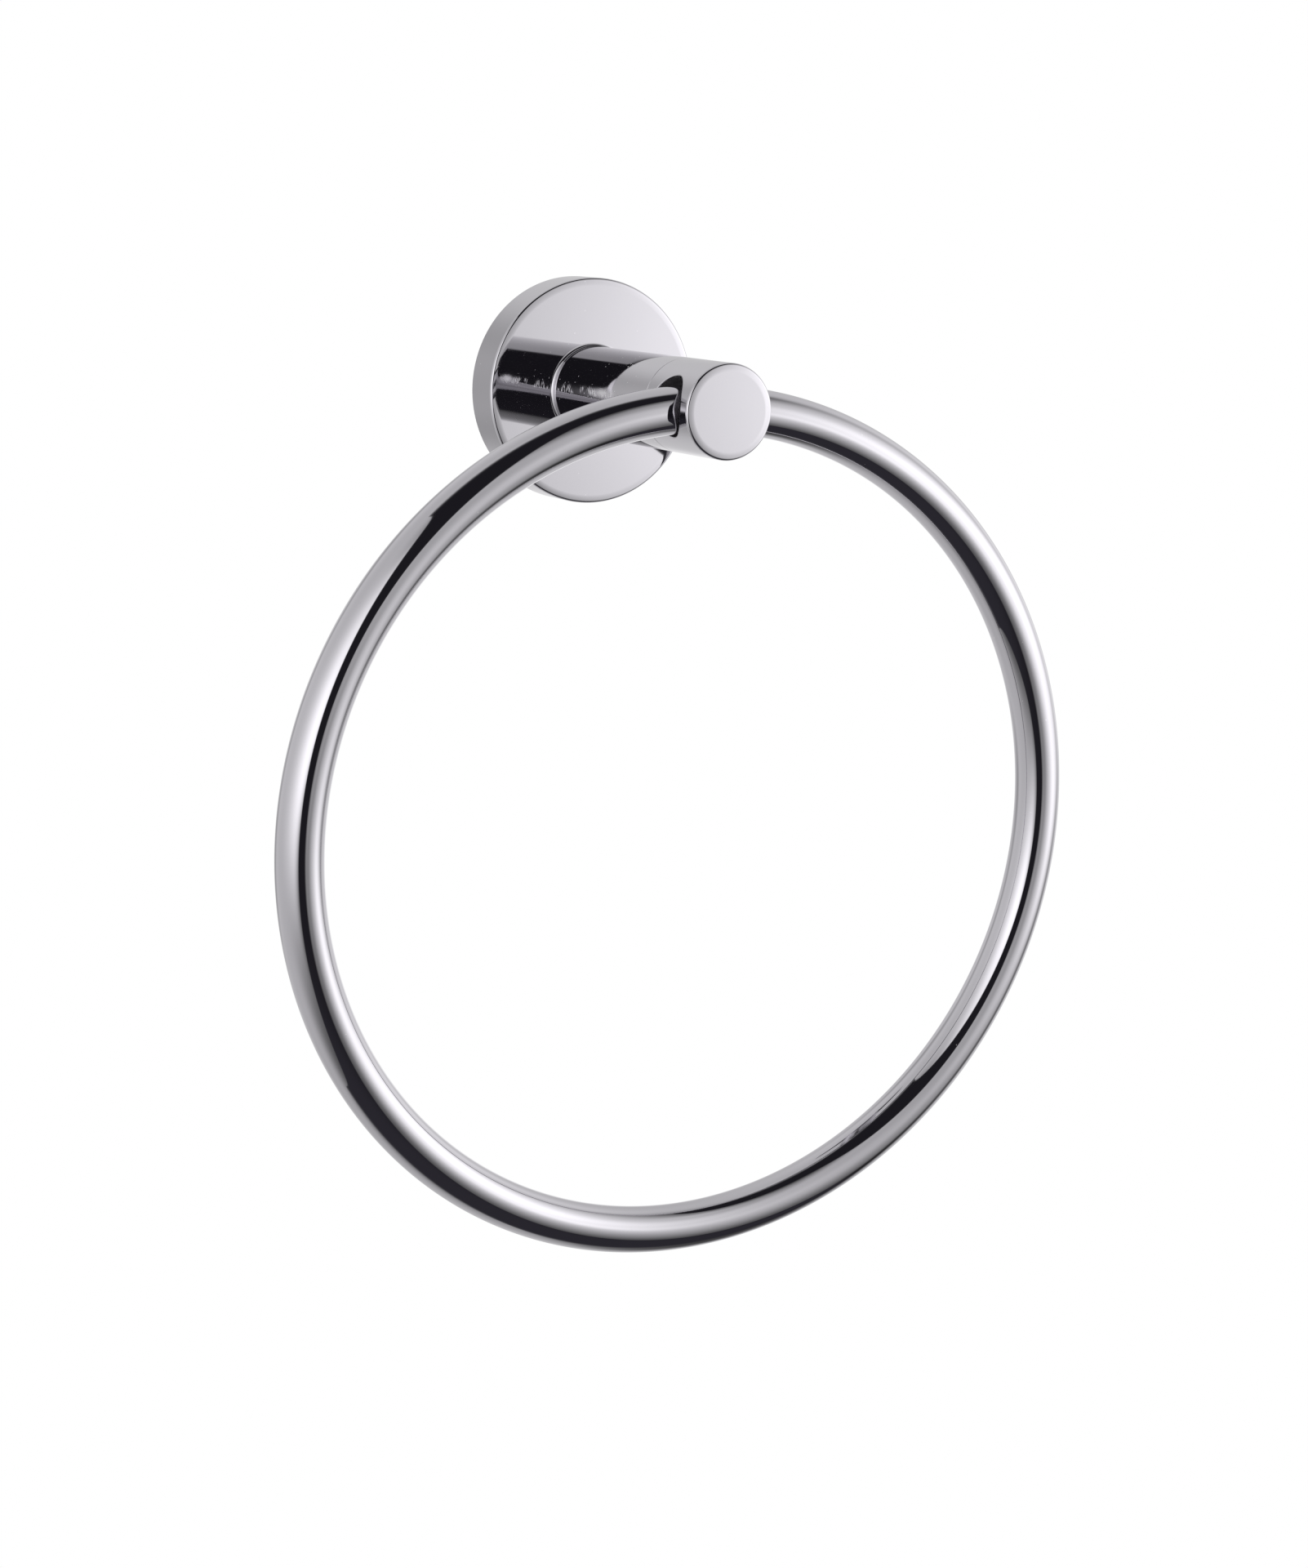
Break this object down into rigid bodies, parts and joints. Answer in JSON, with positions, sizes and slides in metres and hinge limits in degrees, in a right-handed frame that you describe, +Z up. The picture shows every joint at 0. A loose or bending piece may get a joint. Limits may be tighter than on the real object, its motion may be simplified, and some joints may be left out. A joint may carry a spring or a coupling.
{
  "type": "towel ring",
  "caption": "Chrome towel ring: a round bar ring swings in the cross-bored head of a wall post with a round flange over a concealed wall bracket.",
  "frame": {"origin": "centre of the flange's back face, on the wall plane", "axes": "+Z up, the post stands out of the wall towards -Y, the wall lies at +Y, the ring hangs towards -Z and spans X"},
  "size_m": [0.188, 0.073, 0.208],
  "materials": {
    "chrome": "polished chrome plate",
    "zinc": "die-cast zinc, left bare",
    "screw_steel": "bright zinc-plated steel",
    "pin_steel": "ground steel"
  },
  "bodies": {
    "wall_post": {"wall_bracket": "zinc", "flange": "chrome", "grub_screw": "screw_steel", "plain_washer": "screw_steel", "lock_washer": "screw_steel", "post_screw": "screw_steel", "post": "chrome", "head": "chrome"},
    "ring": {"ring": "chrome", "ring_joining_pin": "pin_steel"}
  },
  "joints": [
    {"name": "ring_swing", "type": "hinge", "parent": "wall_post", "child": "ring", "pos_m": [0, -0.0635, 0], "axis": [-1, 0, 0], "range_deg": [-19, 199]}
  ]
}
